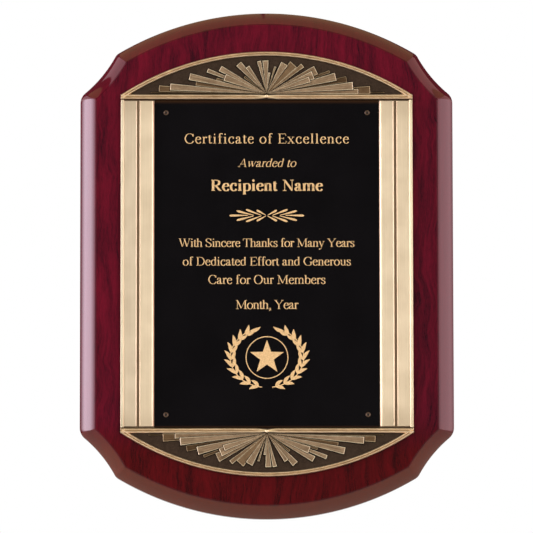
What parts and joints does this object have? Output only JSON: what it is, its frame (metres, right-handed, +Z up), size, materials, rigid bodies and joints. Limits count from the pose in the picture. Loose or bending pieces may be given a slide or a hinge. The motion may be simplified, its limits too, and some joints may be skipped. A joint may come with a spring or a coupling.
{
  "type": "award plaque",
  "caption": "Wall award plaque: crowned lacquered board with bevelled edge, bronze sunburst and column castings, and a pinned black engraving plate.",
  "frame": {"origin": "centre of the board's flat back face, the side that meets the wall", "axes": "+X across the plaque to the viewer's right, +Y out of the back towards the wall, +Z up along the plaque's height; the engraved face looks along -Y"},
  "size_m": [0.2794, 0.0243, 0.381],
  "materials": {
    "lacquered_wood": "burgundy rosewood veneer under clear mirror-gloss lacquer",
    "antique_bronze": "cast, antiqued dark in the recesses, brushed satin on the high faces",
    "black_brass": "black satin lacquer over brass, engraved through to the metal",
    "pin_bronze": "darkened bronze with a worn rim",
    "zinc_screw": "bright zinc plating",
    "hanger_steel": "zinc-plated pressed steel"
  },
  "bodies": {
    "root": {"backboard": "lacquered_wood", "top_sunburst_casting": "antique_bronze", "bottom_sunburst_casting": "antique_bronze", "left_column_casting": "antique_bronze", "right_column_casting": "antique_bronze", "engraved_plate": "black_brass", "plate_pin_top_left": "pin_bronze", "plate_pin_top_right": "pin_bronze", "plate_pin_bottom_left": "pin_bronze", "plate_pin_bottom_right": "pin_bronze", "casting_screw_top_1": "zinc_screw", "casting_screw_top_2": "zinc_screw", "casting_screw_bottom_1": "zinc_screw", "casting_screw_bottom_2": "zinc_screw", "casting_screw_left_1": "zinc_screw", "casting_screw_left_2": "zinc_screw", "casting_screw_right_1": "zinc_screw", "casting_screw_right_2": "zinc_screw", "keyhole_hanger": "hanger_steel", "hanger_screw_left": "zinc_screw", "hanger_screw_right": "zinc_screw"}
  },
  "joints": []
}
